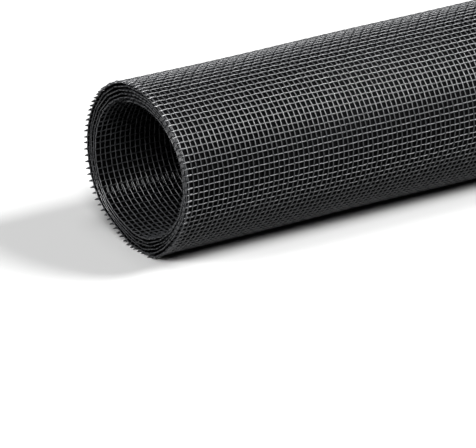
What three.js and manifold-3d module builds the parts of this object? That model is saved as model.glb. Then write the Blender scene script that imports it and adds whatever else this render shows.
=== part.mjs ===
// A roll of fibreglass window screening: one cut length of screen cloth wound on itself with an open bore.
// Millimetres, +Z up. The roll lies along X on its small flat spot, with the origin under its middle.
// The near end is at -X. Angles in the section are seen from that end, from -Y (0 degrees) over the top (90).

import * as THREE from 'three';
import { mergeVertices } from 'three/addons/utils/BufferGeometryUtils.js';
import Module from 'manifold-3d';

// Driving dimensions
const INCH = 25.4;
const CLOTH_WIDTH = 24 * INCH; // along the roll, weft yarns
const CLOTH_LENGTH = 27.25 * INCH; // wound around it, warp yarns
const CUT_ENDS = 1.0; // how far the cut weft ends stand past the last warp yarn
const CLOTH_THICK = 0.42; // two crossed yarns, heat-set into each other
const PRESSED_PITCH = 0.47; // between turns that the roll's weight presses together
const OUTER_RADIUS = 22.45; // of the middle of the cloth, at its outer free edge
const TURN_PITCH = 0.63; // how much further in each turn lies
const TURNS = 5.5; // about as many as the cloth's length makes
const FREE_EDGE = 283; // degrees, the outer free edge lies on the floor beside the flat spot
const OVAL = 0.035; // the roll sags: this much wider, and this much lower, than round
const FLAT_DEPTH = 0.35; // how far the lowest turn is pressed flat
const CLIMB = 7; // degrees in which the second turn climbs over the free edge
const TELESCOPE = 0.65; // the innermost turn lies this much further towards +X than the outermost
const GROOVE_DEPTH = 2.5; // how deep the gaps between the turns show at both ends

// The outermost turn stands off a little beside its free edge: millimetres, and turned angles in degrees
const LOOSE = { rise: 0.45, middle: 50, half: 60 };
// The roll is dented along its two lower sides, each turn less than the one around it: millimetres and degrees
const DENTS = [
  { depth: 1.5, middle: 246, half: 34 },
  { depth: 2.1, middle: 325, half: 66 },
];
const DENT_KEPT = 0.3; // the share of a dent that is left at the innermost turn
// The inner turns hang lower than the outer ones, flattened from above and below
const SAG = { size: 1.9, middle: 110 };
const STEP = 7.5; // degrees between the points of the section, a whole share of a turn

const radians = THREE.MathUtils.degToRad;
const smooth = THREE.MathUtils.smoothstep;

// A rounded bump: 1 in its middle, falling to 0 at `half` degrees from it
function bump(away, half) {
  return (1 + Math.cos(Math.PI * Math.min(Math.abs(away) / half, 1))) / 2;
}

// Radius of the middle of the cloth, at a turned angle counted inwards from the free edge
function woundRadius(turned) {
  const angle = FREE_EDGE + turned;
  const inwards = turned / (360 * TURNS);
  let radius = OUTER_RADIUS - (TURN_PITCH * turned) / 360;
  radius += LOOSE.rise * bump(turned - LOOSE.middle, LOOSE.half);
  for (const { depth, middle, half } of DENTS) {
    const away = THREE.MathUtils.euclideanModulo(angle - middle + 180, 360) - 180;
    radius -= depth * (1 - (1 - DENT_KEPT) * inwards) * bump(away, half);
  }
  return radius - (SAG.size * inwards * (1 + Math.cos(2 * radians(angle - SAG.middle)))) / 2;
}

// Height of the bore's axis, from the turn that lies on the floor
const LOWEST_RADIUS = woundRadius(270 - FREE_EDGE + 360);
const AXIS_HEIGHT = (1 - OVAL) * LOWEST_RADIUS + CLOTH_THICK / 2 - FLAT_DEPTH;

// A point of the section as (Y, Z), `out` millimetres outside the middle of the cloth
function woundPoint(turned, out) {
  const angle = radians(FREE_EDGE + turned);
  const radius = woundRadius(turned) + out;
  const y = -(1 + OVAL) * radius * Math.cos(angle);
  const z = AXIS_HEIGHT + (1 - OVAL) * radius * Math.sin(angle);
  const layersBelow = Math.floor(turned / 360) + smooth(turned % 360, 360 - CLIMB, 360);
  const lowest = layersBelow * PRESSED_PITCH + CLOTH_THICK / 2 - out;
  return new THREE.Vector2(y, Math.max(z, lowest));
}

// Turned angles from the outer free edge to the inner one, where the cloth's length is used up
function woundAngles() {
  const angles = [0];
  let length = 0;
  let last = woundPoint(0, 0);
  while (length < CLOTH_LENGTH) {
    const turned = angles[angles.length - 1] + STEP;
    const next = woundPoint(turned, 0);
    length += next.distanceTo(last);
    last = next;
    angles.push(turned);
  }
  return angles;
}

const ANGLES = woundAngles();
const LAST = ANGLES[ANGLES.length - 1];

// Section of the cloth itself, as wound: its outer face, then back along its inner face
function clothSection() {
  const outside = ANGLES.map((turned) => woundPoint(turned, CLOTH_THICK / 2));
  const inside = ANGLES.map((turned) => woundPoint(turned, -CLOTH_THICK / 2)).reverse();
  return new THREE.Shape([...outside, ...inside]);
}

// Section of the closed-up winding, from the middle of its outermost turn to the middle of its innermost
function windingSection() {
  const outermost = ANGLES.filter((turned) => turned <= 360);
  const innermost = ANGLES.filter((turned) => turned >= LAST - 360).reverse();
  const shape = new THREE.Shape(outermost.map((turned) => woundPoint(turned, 0)));
  shape.holes.push(new THREE.Path(innermost.map((turned) => woundPoint(turned, 0))));
  return shape;
}

// A section drawn out along X, with each point pushed along by its turn so that the ends are telescoped
function drawnOut(section, length) {
  const geometry = new THREE.ExtrudeGeometry(section, { depth: length, bevelEnabled: false });
  geometry.translate(0, 0, -length / 2);
  geometry.applyMatrix4(
    new THREE.Matrix4().makeBasis(
      new THREE.Vector3(0, 1, 0),
      new THREE.Vector3(0, 0, 1),
      new THREE.Vector3(1, 0, 0),
    ),
  );
  const wall = OUTER_RADIUS - woundRadius(LAST);
  const places = geometry.getAttribute('position');
  for (let i = 0; i < places.count; i++) {
    const across = places.getY(i) / (1 + OVAL);
    const up = (places.getZ(i) - AXIS_HEIGHT) / (1 - OVAL);
    const inwards = (OUTER_RADIUS - Math.hypot(across, up)) / wall;
    places.setX(i, places.getX(i) + TELESCOPE * (inwards - 0.5));
  }
  return geometry;
}

const wasm = await Module();
wasm.setup();

function toSolid(geometry) {
  geometry.deleteAttribute('normal');
  geometry.deleteAttribute('uv');
  const merged = mergeVertices(geometry, 1e-5);
  return new wasm.Manifold(
    new wasm.Mesh({
      numProp: 3,
      vertProperties: new Float32Array(merged.getAttribute('position').array),
      triVerts: new Uint32Array(merged.index.array),
    }),
  );
}

function toGeometry(solid) {
  const { vertProperties, triVerts } = solid.getMesh();
  const geometry = new THREE.BufferGeometry();
  geometry.setAttribute('position', new THREE.BufferAttribute(vertProperties, 3));
  geometry.setIndex(new THREE.BufferAttribute(triVerts, 1));
  geometry.computeVertexNormals();
  geometry.computeBoundingBox();
  return geometry;
}

// The whole roll: the wound cloth, closed up inside except for the grooves between its turns at both ends
function screenRoll() {
  const length = CLOTH_WIDTH + 2 * CUT_ENDS;
  const cloth = toSolid(drawnOut(clothSection(), length));
  const winding = toSolid(drawnOut(windingSection(), length - 2 * GROOVE_DEPTH));
  const charcoal = new THREE.MeshStandardMaterial({ color: 0x2b2c2e, roughness: 0.55, metalness: 0 });
  const geometry = toGeometry(cloth.add(winding));
  const middle = geometry.boundingBox.getCenter(new THREE.Vector3());
  const mesh = new THREE.Mesh(geometry, charcoal);
  mesh.name = 'screen_roll';
  mesh.position.set(-middle.x, -middle.y, 0);
  return mesh;
}

const roll = new THREE.Group();
roll.add(screenRoll());

export default roll;
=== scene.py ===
import math

import bpy
import numpy as np
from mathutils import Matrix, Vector


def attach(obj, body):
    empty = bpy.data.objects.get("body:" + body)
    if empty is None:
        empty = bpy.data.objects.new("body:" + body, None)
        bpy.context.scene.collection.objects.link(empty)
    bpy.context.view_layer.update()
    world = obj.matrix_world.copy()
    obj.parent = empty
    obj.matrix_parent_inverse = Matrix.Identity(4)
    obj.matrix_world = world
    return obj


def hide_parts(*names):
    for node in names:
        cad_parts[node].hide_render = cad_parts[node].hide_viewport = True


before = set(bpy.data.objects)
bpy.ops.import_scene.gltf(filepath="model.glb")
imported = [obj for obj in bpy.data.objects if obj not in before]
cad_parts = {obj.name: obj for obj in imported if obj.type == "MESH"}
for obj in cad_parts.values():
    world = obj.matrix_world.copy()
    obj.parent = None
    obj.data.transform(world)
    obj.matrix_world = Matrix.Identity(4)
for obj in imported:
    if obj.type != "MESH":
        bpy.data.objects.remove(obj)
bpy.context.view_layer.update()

# Outermost turn
# One cut length of insect screening is wound on itself, and only its own stiffness holds it. Its fibreglass
# yarns have a charcoal vinyl coat, are woven plain, 18 by 16 to the inch, and are heat-set where they cross.
# This turn shows all round. Sizes are in millimetres.
INCH = 25.4
CLOTH_WIDTH = 24 * INCH  # along the roll
CLOTH_LENGTH = 27.25 * INCH  # wound around it
WARPS = 24 * 18
WEFTS = 436
WARP_PITCH = INCH / 18
WEFT_PITCH = INCH / 16

# The winding, as the solid model has it. Angles are degrees, seen from the near end, 0 at -Y and 90 on top.
CLOTH_THICK = 0.42
PRESSED_PITCH = 0.47  # between turns that the roll's weight presses together
OUTER_RADIUS = 22.45  # of the middle of the cloth, at its outer free edge
TURN_PITCH = 0.63
TURNS = 5.5
FREE_EDGE = 283
OVAL = 0.035  # this much wider, and this much lower, than round
FLAT_DEPTH = 0.35
CLIMB = 7  # degrees in which the second turn climbs over the free edge
TELESCOPE = 0.65  # the innermost turn lies this much further towards +X than the outermost
LOOSE_RISE, LOOSE_MIDDLE, LOOSE_HALF = 0.45, 50, 60
DENTS = ((1.5, 246, 34), (2.1, 325, 66))  # depth, middle, half width
DENT_KEPT = 0.3  # the share of a dent that is left at the innermost turn
SAG_SIZE, SAG_MIDDLE = 1.9, 110
SIDE_SHIFT = -0.1236  # centres the roll's box over the origin

# The cloth isn't wound quite evenly: height of a swell, its length along the roll, rounds and start
SWELLS = ((0.10, 23, 2, 0.0), (0.07, 9.7, -3, 1.3))
# Its cut sides waver: how far, the length along the cloth, and the start
CUT_WAVERS = ((0.10, 31, 0.5), (0.05, 12.3, 0.0))


def smooth(value, low, high):
    share = np.clip((value - low) / (high - low), 0, 1)
    return share * share * (3 - 2 * share)


def bump(away, half):
    return (1 + np.cos(np.pi * np.minimum(np.abs(away) / half, 1))) / 2


def wound_radius(turned):
    """Radius of the middle of the cloth, at a turned angle counted inwards from the outer free edge."""
    angle = FREE_EDGE + turned
    inwards = turned / (360 * TURNS)
    radius = OUTER_RADIUS - TURN_PITCH * turned / 360
    radius = radius + LOOSE_RISE * bump(turned - LOOSE_MIDDLE, LOOSE_HALF)
    for depth, middle, half in DENTS:
        away = (angle - middle + 180) % 360 - 180
        radius = radius - depth * (1 - (1 - DENT_KEPT) * inwards) * bump(away, half)
    return radius - SAG_SIZE * inwards * (1 + np.cos(2 * np.radians(angle - SAG_MIDDLE))) / 2


LOWEST_RADIUS = wound_radius(270 - FREE_EDGE + 360.0)
AXIS_HEIGHT = (1 - OVAL) * LOWEST_RADIUS + CLOTH_THICK / 2 - FLAT_DEPTH


def wound_point(turned, out):
    """Y and Z of the winding, `out` millimetres outside the middle of the cloth."""
    angle = np.radians(FREE_EDGE + turned)
    radius = wound_radius(turned) + out
    y = SIDE_SHIFT - (1 + OVAL) * radius * np.cos(angle)
    z = AXIS_HEIGHT + (1 - OVAL) * radius * np.sin(angle)
    layers_below = np.floor(turned / 360) + smooth(turned % 360, 360 - CLIMB, 360)
    lowest = layers_below * PRESSED_PITCH + CLOTH_THICK / 2
    return y, np.maximum(z, lowest - out)


# Length along the cloth against the turned angle, carried a little past the inner free edge
TURNED = np.arange(0, 2100, 0.25)
line_y, line_z = wound_point(TURNED, 0.0)
ALONG = np.concatenate([[0], np.cumsum(np.hypot(np.diff(line_y), np.diff(line_z)))])
LAST_TURNED = float(np.interp(CLOTH_LENGTH, ALONG, TURNED))

# A yarn has three sides with smoothed shading, because so many of them have to fit
YARN = 0.2055  # from its middle to a corner
CRIMP = 0.085  # how far it swings over and under the yarns that it crosses
WEFT_FOOT = 0.42  # a cut weft end is frayed wide at the last warp, then runs out to a point
WEFT_TIP = 0.10
CLOSE_CUT = 0.5  # the wefts inside the outermost turn are cut this much shorter
CLOSE_CUT_FROM = 88

# Each yarn lies a little off its place and sways along its way, and is cut a little longer or shorter
rng = np.random.default_rng(1816)
warp_off = rng.normal(0, 0.03, WARPS)
warp_sway = rng.uniform(0.02, 0.05, WARPS)
warp_wave = rng.uniform(25, 70, WARPS)
warp_phase = rng.uniform(0, 2 * np.pi, WARPS)
weft_off = rng.normal(0, 0.035, WEFTS)
weft_sway = rng.uniform(0.03, 0.08, WEFTS)
weft_wave = rng.uniform(25, 80, WEFTS)
weft_phase = rng.uniform(0, 2 * np.pi, WEFTS)
cut_near = rng.uniform(0.2, 0.42, WEFTS)
cut_far = rng.uniform(0.2, 0.42, WEFTS)
cut_bend = rng.normal(0, 0.035, (WEFTS, 4))
warp_cut = rng.uniform(-0.15, 0.3, (WARPS, 2))
cut_near[CLOSE_CUT_FROM:] -= CLOSE_CUT
cut_far[CLOSE_CUT_FROM:] -= CLOSE_CUT


def cloth_place(across, along, out):
    """Points of the wound cloth in metres, and their directions outwards and forwards along it."""
    across, along, out = np.broadcast_arrays(across, along, out)
    turned = np.interp(along, ALONG, TURNED)
    angle = np.radians(FREE_EDGE + turned)
    swell = sum(
        height * np.sin(across / length + rounds * angle + begin) for height, length, rounds, begin in SWELLS
    )
    y, z = wound_point(turned, out + swell)
    z = np.maximum(z, YARN + CRIMP - out)
    waver = sum(size * np.sin(along / length + begin) for size, length, begin in CUT_WAVERS)
    x = across + TELESCOPE * (turned / LAST_TURNED - 0.5) + waver
    place = np.stack([x, y, z], axis=-1) / 1000
    outward = np.stack([np.zeros_like(x), -np.cos(angle), np.sin(angle)], axis=-1)
    forward = np.stack([np.zeros_like(x), np.sin(angle), np.cos(angle)], axis=-1)
    return place, outward, forward


def warp_across(warp, along):
    sway = warp_sway[warp] * np.sin(2 * np.pi * along / warp_wave[warp] + warp_phase[warp])
    return (warp + 0.5) * WARP_PITCH - CLOTH_WIDTH / 2 + (warp_off[warp] + sway)


def crossing(warp, weft):
    """Where warps cross wefts, across and along the cloth, and 1 or -1 for a warp going over or under."""
    across = (warp + 0.5) * WARP_PITCH - CLOTH_WIDTH / 2
    along = (weft + 0.5) * WEFT_PITCH
    sway = weft_sway[weft] * np.sin(2 * np.pi * across / weft_wave[weft] + weft_phase[weft])
    over = np.where((warp + weft) % 2 == 0, 1.0, -1.0)
    return warp_across(warp, along), along + (weft_off[weft] + sway), over


class Yarns:
    """Gathers yarns into one mesh, whose texture coordinates give each side of a yarn its own strip."""

    CORNERS = np.radians([90, 210, 330])
    STRIP_GAP = 0.1
    END_WIDTH = 0.0015
    END_HALF = 0.3

    def __init__(self):
        self.points, self.quads, self.side_uvs = [], [], []
        self.ends, self.end_uvs = [], []
        self.count = 0

    def add(self, place, outward, sideways, radius, ridge, closed, shelf):
        """Adds n yarns of m points. `ridge` turns a corner outwards or inwards, `closed` says which ends are
        capped, and `shelf` is the part of the texture that these yarns share."""
        n, m = place.shape[:2]
        ring = place[:, :, None, :] + radius[:, :, None, None] * (
            np.sin(self.CORNERS)[:, None] * (ridge * outward)[:, :, None, :]
            + np.cos(self.CORNERS)[:, None] * sideways[:, :, None, :]
        )
        start = self.count
        self.points.append(ring.reshape(-1, 3))
        self.count += n * m * 3

        i, j, k = np.meshgrid(np.arange(n), np.arange(m - 1), np.arange(3), indexing="ij")
        a = start + (i * m + j) * 3
        after = (k + 1) % 3
        quad = np.stack([a + k, a + after, a + 3 + after, a + 3 + k], axis=-1)
        low, high = shelf
        v0 = low + (high - low) * (i * 3 + k + self.STRIP_GAP) / (n * 3)
        v1 = low + (high - low) * (i * 3 + k + 1 - self.STRIP_GAP) / (n * 3)
        u0, u1 = j / (m - 1), (j + 1) / (m - 1)
        uv = np.stack([u0, v0, u0, v1, u1, v1, u1, v0], axis=-1).reshape(n, m - 1, 3, 4, 2)
        handed = np.einsum("ijc,ijc->ij", np.cross(outward, sideways)[:, :-1], np.diff(place, axis=1))
        flip = np.median(handed) * ridge > 0
        if flip:
            quad, uv = quad[..., ::-1], uv[..., ::-1, :]
        self.quads.append(quad.reshape(-1, 4))
        self.side_uvs.append(uv.reshape(-1, 2))

        strip = (high - low) / n
        for end, wanted in zip((0, m - 1), closed):
            if not wanted:
                continue
            corner = start + (np.arange(n)[:, None] * m + end) * 3 + np.arange(3)
            self.ends.append(corner[:, ::-1] if (end == 0) == flip else corner)
            u = (1 - self.END_WIDTH if end else 0.0) + np.array([0.0, 0.0, self.END_WIDTH])
            v = low + strip * (np.arange(n)[:, None] + 0.5 + np.array([-self.END_HALF, self.END_HALF, 0.0]))
            self.end_uvs.append(np.stack(np.broadcast_arrays(u, v), axis=-1).reshape(-1, 2))

    def piece(self, name, material):
        quads, ends = np.concatenate(self.quads), np.concatenate(self.ends)
        mesh = bpy.data.meshes.new(name)
        mesh.vertices.add(self.count)
        mesh.vertices.foreach_set("co", np.concatenate(self.points).astype(np.float32).ravel())
        loops = np.concatenate([quads.ravel(), ends.ravel()])
        mesh.loops.add(len(loops))
        mesh.loops.foreach_set("vertex_index", loops.astype(np.int32))
        starts = np.concatenate([np.arange(len(quads)) * 4, quads.size + np.arange(len(ends)) * 3])
        mesh.polygons.add(len(starts))
        mesh.polygons.foreach_set("loop_start", starts.astype(np.int32))
        mesh.polygons.foreach_set("use_smooth", np.arange(len(starts)) < len(quads))
        mesh.update(calc_edges=True)
        mesh.validate()
        layer = mesh.uv_layers.new(name="OFBake")
        uvs = np.concatenate(self.side_uvs + self.end_uvs)
        layer.data.foreach_set("uv", uvs.astype(np.float32).ravel())
        mesh.materials.append(material)
        made = bpy.data.objects.new(name, mesh)
        bpy.context.scene.collection.objects.link(made)
        return made


# Parts of the texture
WOVEN_WARPS_SHELF = (0.0, 0.24)
STRAIGHT_WARPS_SHELF = (0.25, 0.49)
WEFTS_SHELF = (0.5, 1.0)


def lay_warps(yarns, first, last, warps, crimped, step, ridge):
    """Adds warps from weft `first` up to `last`, crimped, or straight with a point every `step` wefts."""
    wefts = np.arange(first, last)
    if not crimped:
        wefts = np.unique(np.append(wefts[::step], wefts[-1]))
    warp = warps[:, None]
    across, along, over = crossing(warp, wefts[None, :])
    low, high = first * WEFT_PITCH, last * WEFT_PITCH
    head, tail = np.full(warp.shape, low), np.full(warp.shape, high)
    if first == 0:
        head = head + warp_cut[warps, :1]
    if last == WEFTS:
        tail = tail - warp_cut[warps, 1:]
    out = CRIMP * over if crimped else np.full(across.shape, CRIMP * ridge)
    end_out = np.full(warp.shape, 0.0 if crimped else CRIMP * ridge)
    across = np.concatenate([warp_across(warp, low), across, warp_across(warp, high)], 1)
    along = np.concatenate([head, along, tail], 1)
    place, outward, _ = cloth_place(across, along, np.concatenate([end_out, out, end_out], 1))
    sideways = np.zeros_like(outward)
    sideways[..., 0] = 1
    radius = np.full(place.shape[:2], YARN / 1000)
    shelf = WOVEN_WARPS_SHELF if crimped else STRAIGHT_WARPS_SHELF
    yarns.add(place, outward, sideways, radius, ridge, (first == 0, last == WEFTS), shelf)


def lay_wefts(yarns, first, last, warps, crimped, ridge):
    """Adds the wefts from `first` up to `last`, each with a point where it crosses one of `warps`."""
    wefts = np.arange(first, last)
    across, along, over = crossing(warps[None, :], wefts[:, None])
    out = CRIMP * np.where(crimped, -over, -ridge)
    near = -CLOTH_WIDTH / 2 - cut_near[wefts][:, None]
    far = CLOTH_WIDTH / 2 + cut_far[wefts][:, None]
    bend = cut_bend[wefts]
    across = np.concatenate([near, across, far], 1)
    along = np.concatenate([along[:, :1] + bend[:, :1], along, along[:, -1:] + bend[:, 1:2]], 1)
    out = np.concatenate([bend[:, 2:3], out, bend[:, 3:4]], 1)
    place, outward, forward = cloth_place(across, along, out)
    radius = np.full(place.shape[:2], YARN / 1000)
    radius[:, [1, -2]] = np.where(wefts < CLOSE_CUT_FROM, WEFT_FOOT, YARN)[:, None] / 1000
    radius[:, [0, -1]] = WEFT_TIP / 1000
    yarns.add(place, outward, forward, radius, ridge, (True, True), WEFTS_SHELF)


# Charcoal vinyl coat: a soft gloss over a fine uneven grain
yarn_vinyl = bpy.data.materials.new("screen_yarn")
yarn_vinyl.use_nodes = True
vinyl_nodes, vinyl_links = yarn_vinyl.node_tree.nodes, yarn_vinyl.node_tree.links
vinyl = vinyl_nodes["Principled BSDF"]
vinyl.inputs["Roughness"].default_value = 0.4
vinyl.inputs["Specular IOR Level"].default_value = 0.9
vinyl_place = vinyl_nodes.new("ShaderNodeTexCoord")
grain = vinyl_nodes.new("ShaderNodeTexNoise")
grain.inputs["Scale"].default_value = 900
grain.inputs["Detail"].default_value = 3
vinyl_links.new(vinyl_place.outputs["Object"], grain.inputs["Vector"])
charcoal = vinyl_nodes.new("ShaderNodeValToRGB")
charcoal.color_ramp.elements[0].position = 0.3
charcoal.color_ramp.elements[0].color = (0.016, 0.0165, 0.018, 1)
charcoal.color_ramp.elements[1].position = 0.75
charcoal.color_ramp.elements[1].color = (0.040, 0.041, 0.044, 1)
vinyl_links.new(grain.outputs["Fac"], charcoal.inputs["Fac"])
vinyl_links.new(charcoal.outputs["Color"], vinyl.inputs["Base Color"])
grain_relief = vinyl_nodes.new("ShaderNodeBump")
grain_relief.inputs["Strength"].default_value = 0.25
grain_relief.inputs["Distance"].default_value = 0.0001
vinyl_links.new(grain.outputs["Fac"], grain_relief.inputs["Height"])
vinyl_links.new(grain_relief.outputs["Normal"], vinyl.inputs["Normal"])

ALL_WARPS = np.arange(WARPS)
CORNER_OUT, CORNER_IN = 1, -1
OUTER_TURN = (
    ("screen_outer_turn_1", 0, 30),
    ("screen_outer_turn_2", 30, 60),
    ("screen_outer_turn_3", 60, 90),
)
for name, first, last in OUTER_TURN:
    yarns = Yarns()
    lay_warps(yarns, first, last, ALL_WARPS, True, 1, CORNER_OUT)
    lay_wefts(yarns, first, last, ALL_WARPS, True, CORNER_OUT)
    piece = yarns.piece(name, yarn_vinyl)
    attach(piece, "root")
    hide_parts("screen_roll")

# Middle turns
# The same cloth wound further in, under the outermost turn. Only its cut edges show, and a little of it
# through the holes, so its yarns run straight over each other instead of being woven.
MIDDLE_STEP = 4  # wefts from one point of a straight warp to the next
MIDDLE_FIRST, MIDDLE_APART = 30, 93  # warps at which a straight weft has its points
MIDDLE_WARPS = np.concatenate([[0], np.arange(MIDDLE_FIRST, WARPS - 1, MIDDLE_APART), [WARPS - 1]])
MIDDLE_TURNS = (
    ("screen_middle_turns_1", 90, 224),
    ("screen_middle_turns_2", 224, 358),
)
for name, first, last in MIDDLE_TURNS:
    yarns = Yarns()
    lay_warps(yarns, first, last, ALL_WARPS, False, MIDDLE_STEP, CORNER_OUT)
    lay_wefts(yarns, first, last, MIDDLE_WARPS, False, CORNER_OUT)
    piece = yarns.piece(name, yarn_vinyl)
    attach(piece, "root")
    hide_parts("screen_roll")

# Innermost turn
# The last turn of the same cloth, which lines the bore up to the inner free edge. Its yarns are woven over
# and under near both ends, and run straight further in, where little of them shows.
WOVEN_DEPTH = 90.0
INNER_STEP = 2
INNER_FIRST, INNER_APART = 8, 40
warp_place = (ALL_WARPS + 0.5) * WARP_PITCH - CLOTH_WIDTH / 2
woven = np.abs(warp_place) > CLOTH_WIDTH / 2 - WOVEN_DEPTH
woven_near = np.flatnonzero(woven & (warp_place < 0))
woven_far = np.flatnonzero(woven & (warp_place > 0))
straight = np.flatnonzero(~woven)
inner_warps = np.concatenate([woven_near, straight[INNER_FIRST::INNER_APART], woven_far])
INNER_TURN = (
    ("screen_inner_turn_1", 358, 397),
    ("screen_inner_turn_2", 397, WEFTS),
)
for name, first, last in INNER_TURN:
    yarns = Yarns()
    lay_warps(yarns, first, last, np.flatnonzero(woven), True, 1, CORNER_IN)
    lay_warps(yarns, first, last, straight, False, INNER_STEP, CORNER_IN)
    lay_wefts(yarns, first, last, inner_warps, woven[inner_warps], CORNER_IN)
    piece = yarns.piece(name, yarn_vinyl)
    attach(piece, "root")
    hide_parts("screen_roll")

# Packed turns, painted shade
# The turns lie so close that their many yarns shut out the light between them. This thin wound strip, which
# stops a little short of the cut ends, is a near-black sheet of painted shade: it stands in for the unbuilt
# yarns of the inner turns and for the shadow between them, and shows as the dark of the holes.
PACKED_OUT = -0.28
PACKED_THICK = 0.06
PACKED_SHORT = 0.75
PACKED_COLUMNS = 9
PACKED_FROM, PACKED_TO, PACKED_STEP = 6, 1640, 5  # degrees turned from the outer free edge
packed_turned = np.arange(PACKED_FROM, PACKED_TO, PACKED_STEP)
packed_reach = CLOTH_WIDTH / 2 - PACKED_SHORT
packed_across = np.linspace(-packed_reach, packed_reach, PACKED_COLUMNS)
packed_along = np.interp(packed_turned, TURNED, ALONG)
packed_sides = [
    cloth_place(packed_across[None, :], packed_along[:, None], out)[0].reshape(-1, 3)
    for out in (PACKED_OUT + PACKED_THICK / 2, PACKED_OUT - PACKED_THICK / 2)
]
rows, columns = len(packed_along), PACKED_COLUMNS
under = rows * columns
packed_faces = []
for i in range(rows - 1):
    for j in range(columns - 1):
        a = i * columns + j
        quad = (a, a + 1, a + columns + 1, a + columns)
        packed_faces.append(quad[::-1])
        packed_faces.append(tuple(corner + under for corner in quad))
for i in range(rows - 1):
    a, b = i * columns, i * columns + columns - 1
    packed_faces.append((a, a + columns, a + columns + under, a + under))
    packed_faces.append((b + columns, b, b + under, b + columns + under))
for j in range(columns - 1):
    a, b = j, (rows - 1) * columns + j
    packed_faces.append((a + 1, a, a + under, a + 1 + under))
    packed_faces.append((b, b + 1, b + 1 + under, b + under))
packed_mesh = bpy.data.meshes.new("screen_packed_turns_shade")
packed_mesh.from_pydata(np.concatenate(packed_sides).tolist(), [], packed_faces)
packed_mesh.polygons.foreach_set("use_smooth", np.ones(len(packed_faces), bool))

packed_painted_shade = bpy.data.materials.new("screen_packed_painted_shade")
packed_painted_shade.use_nodes = True
packed_shader = packed_painted_shade.node_tree.nodes["Principled BSDF"]
# Near-black, nearly matt and darker than the yarns: painted shade, not the colour of the cloth
packed_shader.inputs["Base Color"].default_value = (0.003, 0.003, 0.0033, 1)
packed_shader.inputs["Roughness"].default_value = 0.9
packed_shader.inputs["Specular IOR Level"].default_value = 0.05
packed_mesh.materials.append(packed_painted_shade)

packed = bpy.data.objects.new("screen_packed_turns_shade", packed_mesh)
bpy.context.scene.collection.objects.link(packed)
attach(packed, "root")
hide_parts("screen_roll")

# Camera
# It looks at the near end from one side and a little above, far off with a long lens.
# Places are in metres.
CAMERA_AZIMUTH, CAMERA_ELEVATION = math.radians(-33.1395), math.radians(22.2809)
camera_data = bpy.data.cameras.new("camera")
camera_data.sensor_width = 36
camera_data.lens = 387.4
camera_data.clip_start = 0.05
camera_data.clip_end = 50
camera = bpy.data.objects.new("camera", camera_data)
bpy.context.scene.collection.objects.link(camera)
camera.location = (-0.90114, -0.95787, 0.46888)
away = Vector(
    (
        math.sin(CAMERA_AZIMUTH) * math.cos(CAMERA_ELEVATION),
        -math.cos(CAMERA_AZIMUTH) * math.cos(CAMERA_ELEVATION),
        math.sin(CAMERA_ELEVATION),
    )
)
camera.rotation_mode = "QUATERNION"
camera.rotation_quaternion = (-away).to_track_quat("-Z", "Y")
bpy.context.scene.camera = camera

# Floor
# A plain pale studio floor that the roll rests on. It reaches so far out that its edges don't show.
# Places are in metres.
FLOOR_HALF = 6.0
floor_corners = [
    (-FLOOR_HALF, -FLOOR_HALF, 0),
    (FLOOR_HALF, -FLOOR_HALF, 0),
    (FLOOR_HALF, FLOOR_HALF, 0),
    (-FLOOR_HALF, FLOOR_HALF, 0),
]
floor_mesh = bpy.data.meshes.new("floor")
floor_mesh.from_pydata(floor_corners, [], [(0, 1, 2, 3)])
floor = bpy.data.objects.new("floor", floor_mesh)
bpy.context.scene.collection.objects.link(floor)
floor_paint = bpy.data.materials.new("floor_paint")
floor_paint.use_nodes = True
paint = floor_paint.node_tree.nodes["Principled BSDF"]
paint.inputs["Base Color"].default_value = (0.34, 0.34, 0.34, 1)
paint.inputs["Roughness"].default_value = 0.9
paint.inputs["Specular IOR Level"].default_value = 0.1
floor_mesh.materials.append(floor_paint)

# Studio light
# Broad soft lamps stand round the roll. The backdrop is white only where the camera sees it, so that it adds
# little light of its own.
studio = bpy.data.worlds.new("studio")
bpy.context.scene.world = studio
studio.use_nodes = True
studio_nodes, studio_links = studio.node_tree.nodes, studio.node_tree.links
seen = studio_nodes.new("ShaderNodeLightPath")
backdrop = studio_nodes.new("ShaderNodeMapRange")
backdrop.inputs["To Min"].default_value = 0.05
backdrop.inputs["To Max"].default_value = 0.95
studio_links.new(seen.outputs["Is Camera Ray"], backdrop.inputs["Value"])
studio_links.new(backdrop.outputs["Result"], studio_nodes["Background"].inputs["Strength"])
studio_nodes["Background"].inputs["Color"].default_value = (1, 1, 1, 1)
bpy.context.scene.view_settings.view_transform = "Standard"
bpy.context.scene.view_settings.look = "Medium High Contrast"

LAMP_SPREAD = math.radians(20)
LAMPS = (
    ("key_lamp", (0.60, -0.40, 0.70), 6.2),
    ("front_lamp", (-0.40, -0.60, 0.70), 3.0),
    ("end_lamp", (-0.87, 0.00, 0.50), 3.4),
    ("top_lamp", (0.00, 0.00, 1.00), 1.0),
    ("back_lamp", (0.10, 0.94, 0.34), 0.45),
)
for name, toward, strength in LAMPS:
    lamp_data = bpy.data.lights.new(name, "SUN")
    lamp_data.energy = strength
    lamp_data.angle = LAMP_SPREAD
    lamp = bpy.data.objects.new(name, lamp_data)
    bpy.context.scene.collection.objects.link(lamp)
    lamp.location = Vector(toward) * 2
    lamp.rotation_mode = "QUATERNION"
    lamp.rotation_quaternion = (-Vector(toward)).to_track_quat("-Z", "Y")
